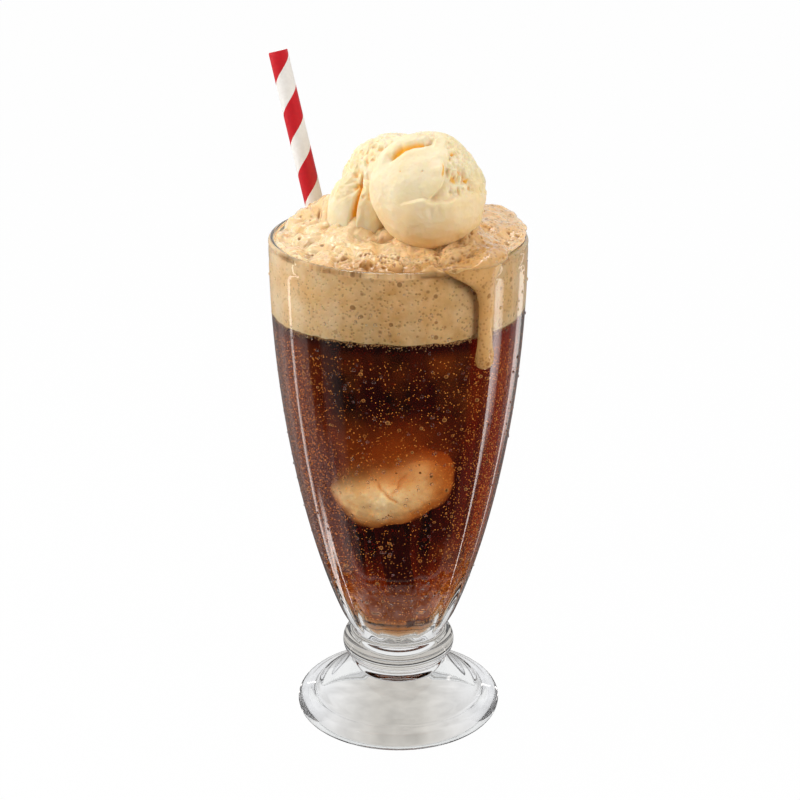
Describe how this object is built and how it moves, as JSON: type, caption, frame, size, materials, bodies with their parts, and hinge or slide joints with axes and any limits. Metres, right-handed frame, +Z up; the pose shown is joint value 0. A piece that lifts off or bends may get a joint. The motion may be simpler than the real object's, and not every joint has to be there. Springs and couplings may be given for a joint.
{
  "type": "ice cream float",
  "caption": "Footed soda glass of cola under a thick foam head that drips over the rim, topped with scoops of vanilla ice cream and a striped paper straw.",
  "frame": {"origin": "on the glass's axis, on the surface that the foot rests on", "axes": "+Z up along the glass's axis; -Y is the shown side, with the front scoop and the foam's drip; +X is to its right"},
  "size_m": [0.091, 0.0908, 0.243],
  "materials": {
    "clear_glass": "clear pressed glass, gloss",
    "cola": "clear dark brown drink with bubbles",
    "foam": "tan foam of fine bubbles",
    "ice_cream": "soft vanilla ice cream, slightly wet",
    "striped_paper": "paper with red and white spiral stripes"
  },
  "bodies": {
    "root": {"glass": "clear_glass", "cola": "cola", "foam": "foam", "scoop_front": "ice_cream", "scoop_back": "ice_cream", "straw": "striped_paper"}
  },
  "joints": []
}
